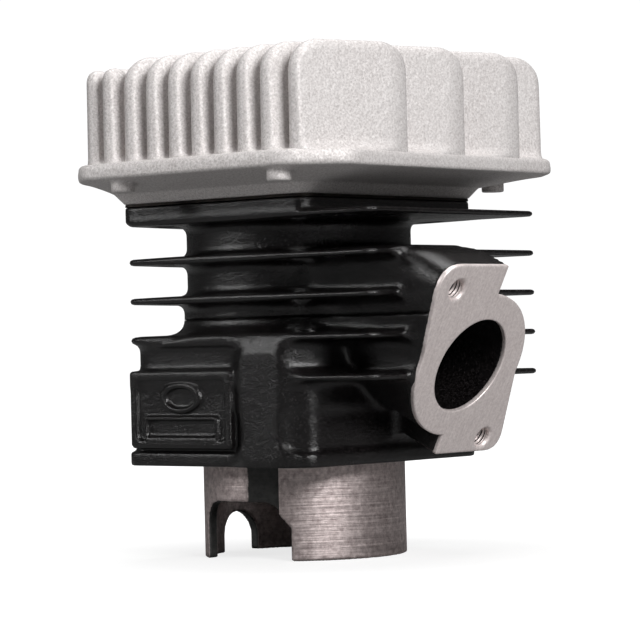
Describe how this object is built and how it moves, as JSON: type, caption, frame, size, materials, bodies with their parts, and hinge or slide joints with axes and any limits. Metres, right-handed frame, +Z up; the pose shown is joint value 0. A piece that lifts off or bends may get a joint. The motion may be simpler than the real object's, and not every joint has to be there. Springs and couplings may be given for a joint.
{
  "type": "two-stroke cylinder and head",
  "caption": "Finned two-stroke engine barrel with its aluminium head fitted and its piston inside, with an angled exhaust flange.",
  "frame": {"origin": "centre of the bounding box at the foot of the skirt, with the bore axis 14.3 mm towards -X", "axes": "+Z up the bore towards the head, +X towards the exhaust flange, -Y towards the name pad"},
  "size_m": [0.1086, 0.106, 0.1289],
  "materials": {
    "head": "shot blasted casting",
    "gasket": "satin sheet",
    "barrel": "semi-gloss black paint over rough casting, machined faces bare",
    "piston": "turned",
    "ring_iron": "ground",
    "pin_steel": "ground",
    "spring_steel": "oiled spring wire"
  },
  "bodies": {
    "cylinder": {"cylinder_head": "head", "head_gasket": "gasket", "barrel": "barrel"},
    "piston": {"piston": "piston", "top_ring": "ring_iron", "second_ring": "ring_iron", "top_ring_peg": "pin_steel", "second_ring_peg": "pin_steel", "left_circlip": "spring_steel", "right_circlip": "spring_steel"},
    "gudgeon_pin": {"gudgeon_pin": "pin_steel"}
  },
  "joints": [
    {"name": "piston_slide", "type": "slide", "parent": "cylinder", "child": "piston", "axis": [0, 0, 1], "range_m": [-0.039, 0]},
    {"name": "pin_turn", "type": "hinge", "parent": "piston", "child": "gudgeon_pin", "pos_m": [-0.01426, 0, 0.0643], "axis": [0, 1, 0], "continuous": true}
  ]
}
